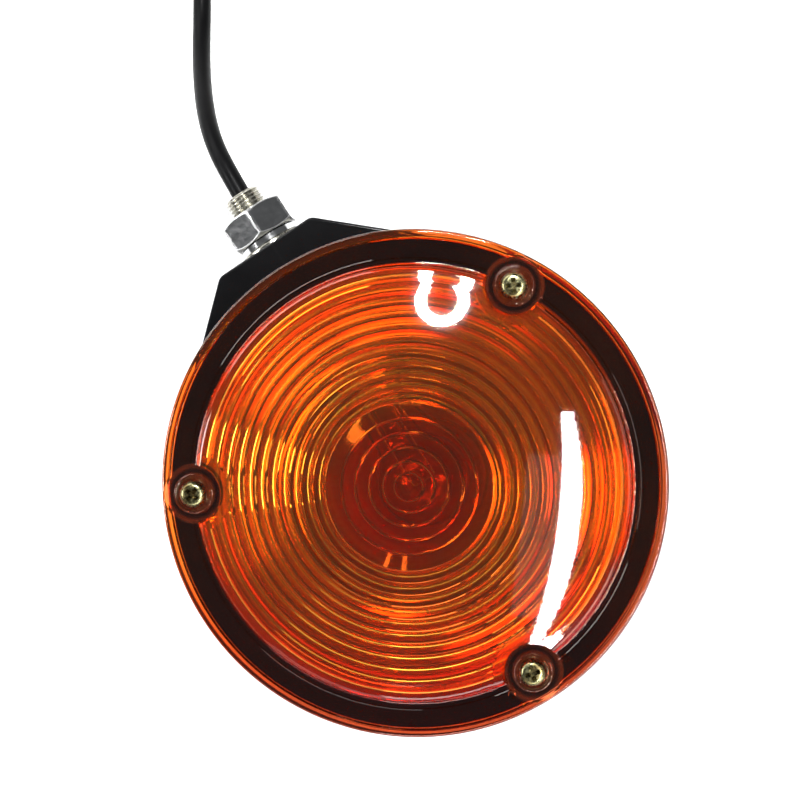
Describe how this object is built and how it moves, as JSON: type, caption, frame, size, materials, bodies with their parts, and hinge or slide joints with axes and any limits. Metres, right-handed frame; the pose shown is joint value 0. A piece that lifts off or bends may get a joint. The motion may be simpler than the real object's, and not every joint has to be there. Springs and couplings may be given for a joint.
{
  "type": "double-faced warning lamp",
  "caption": "Round double-faced warning lamp: fluted amber lens in front, red lens behind, black housing with a pedestal, threaded hollow stud, nut and cable.",
  "frame": {"origin": "on the lens axis, in the plane of the rear lens's flat crown, which is the plane the lamp rests on", "axes": "+Z is the front lens's axis, pointing out of the amber face; +Y points along the stud, away from the housing"},
  "size_m": [0.1609, 0.2575, 0.0728],
  "materials": {
    "housing_black": "moulded, satin gloss",
    "amber_lens": "clear amber acrylic, polished outside, fluted inside",
    "red_lens": "clear red acrylic, polished outside, fluted inside",
    "gasket_rubber": "matt",
    "reflector_bright": "bright metallised sheet",
    "screw_yellow_zinc": "yellow passivated zinc",
    "stud_zinc": "zinc plated, bright thread",
    "nut_zinc": "zinc plated, satin",
    "washer_zinc": "zinc plated, bright",
    "bulb_clear_glass": "clear",
    "cap_brass": "bright",
    "solder": "tinned",
    "tungsten": "drawn wire",
    "holder_steel": "plated sheet",
    "fibre_brown": "pressed fibre board",
    "cable_black": "smooth cable jacket with a soft shine",
    "tie_black": "moulded strap",
    "core_brown": "wire insulation",
    "core_white": "wire insulation",
    "sleeve_red": "soft sleeve"
  },
  "bodies": {
    "lamp": {"front_lens": "amber_lens", "front_gasket": "gasket_rubber", "front_reflector": "reflector_bright", "front_lens_screw_1": "screw_yellow_zinc", "front_lens_screw_2": "screw_yellow_zinc", "front_lens_screw_3": "screw_yellow_zinc", "rear_lens": "red_lens", "rear_gasket": "gasket_rubber", "rear_reflector": "reflector_bright", "rear_lens_screw_1": "screw_yellow_zinc", "rear_lens_screw_2": "screw_yellow_zinc", "rear_lens_screw_3": "screw_yellow_zinc", "housing": "housing_black", "hollow_stud": "stud_zinc", "stud_jam_nut": "nut_zinc", "flat_washer": "washer_zinc", "holder_shell": "holder_steel", "holder_strap": "holder_steel", "plunger_spring": "solder", "holder_back_plate": "fibre_brown", "live_terminal": "cap_brass", "cable_inner": "cable_black", "cable_ferrule": "holder_steel", "live_wire": "core_brown", "earth_wire": "core_white", "earth_tag": "cap_brass", "earth_rivet": "solder", "cable": "cable_black", "cable_coil": "cable_black", "coil_tie": "tie_black", "live_core": "core_brown", "earth_core": "core_white", "live_bullet_sleeve": "sleeve_red", "earth_bullet_sleeve": "sleeve_red", "live_bullet_pin": "cap_brass", "earth_bullet_pin": "cap_brass"},
    "washer_slide": {"lock_washer": "washer_zinc"},
    "nut": {"mounting_nut": "nut_zinc"},
    "plunger": {"plunger_disc": "fibre_brown", "plunger_contact": "cap_brass"},
    "bulb": {"bulb_glass": "bulb_clear_glass", "bulb_cap": "cap_brass", "bulb_tip_contact": "solder", "bulb_stem": "bulb_clear_glass", "bulb_filament": "tungsten", "bulb_lead_left": "tungsten", "bulb_lead_right": "tungsten"}
  },
  "joints": [
    {"name": "washer_travel", "type": "slide", "parent": "lamp", "child": "washer_slide", "axis": [0, 1, 0], "range_m": [0, 0.005]},
    {"name": "nut_turn", "type": "hinge", "parent": "washer_slide", "child": "nut", "pos_m": [0, 0.08, 0.0364], "axis": [0, 1, 0], "range_deg": [0, 1801]},
    {"name": "bulb_push", "type": "slide", "parent": "lamp", "child": "plunger", "axis": [0, 1, 0], "range_m": [0, 0.002], "stiffness_N_per_m": 1500, "springref_m": -0.002, "deforming": ["plunger_spring"]},
    {"name": "bulb_turn", "type": "hinge", "parent": "plunger", "child": "bulb", "pos_m": [0, 0.03, 0.0364], "axis": [0, -1, 0], "range_deg": [0, 25]}
  ],
  "couplings": [
    {"joint": "nut_turn", "follows": "washer_travel", "rad_per_m": 6283.2}
  ]
}
